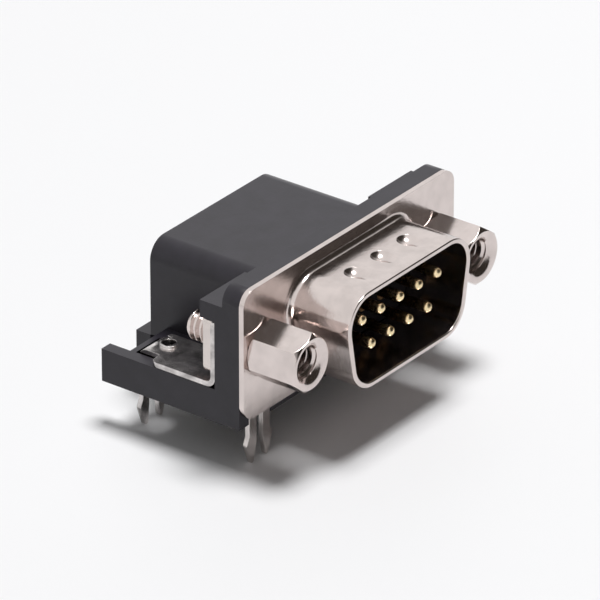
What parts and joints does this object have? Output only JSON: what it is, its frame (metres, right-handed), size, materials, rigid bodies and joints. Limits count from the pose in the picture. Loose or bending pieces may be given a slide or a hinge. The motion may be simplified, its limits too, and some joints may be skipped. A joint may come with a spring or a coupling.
{
  "type": "d-sub connector",
  "caption": "Right-angle board-mount D-sub plug with a metal D-shaped shroud, gold pins, hexagonal jackscrews, tall plastic hood and barbed board forks.",
  "frame": {"origin": "centre of the D-shaped shroud in the plane of the flange's front face", "axes": "-Y points out of the mating face, +X across the connector to the right seen from the front, +Z away from the circuit board"},
  "size_m": [0.0308, 0.0233, 0.0174],
  "materials": {
    "housing": "semi-gloss moulded",
    "spacer": "semi-gloss moulded",
    "shell": "nickel plated, satin",
    "contact": "gold plated, bright",
    "jackscrew": "nickel plated, satin",
    "nut_plate": "nickel plated, satin",
    "bracket": "tin plated, mottled",
    "fork": "tin plated, satin"
  },
  "bodies": {
    "root": {"housing": "housing", "tail_spacer": "spacer", "shell": "shell", "contact_1": "contact", "contact_2": "contact", "contact_3": "contact", "contact_4": "contact", "contact_5": "contact", "contact_6": "contact", "contact_7": "contact", "contact_8": "contact", "contact_9": "contact", "jackscrew_left": "jackscrew", "jackscrew_right": "jackscrew", "nut_plate_left": "nut_plate", "nut_plate_right": "nut_plate", "bracket_left": "bracket", "bracket_right": "bracket", "front_fork_left": "fork", "front_fork_right": "fork"}
  },
  "joints": []
}
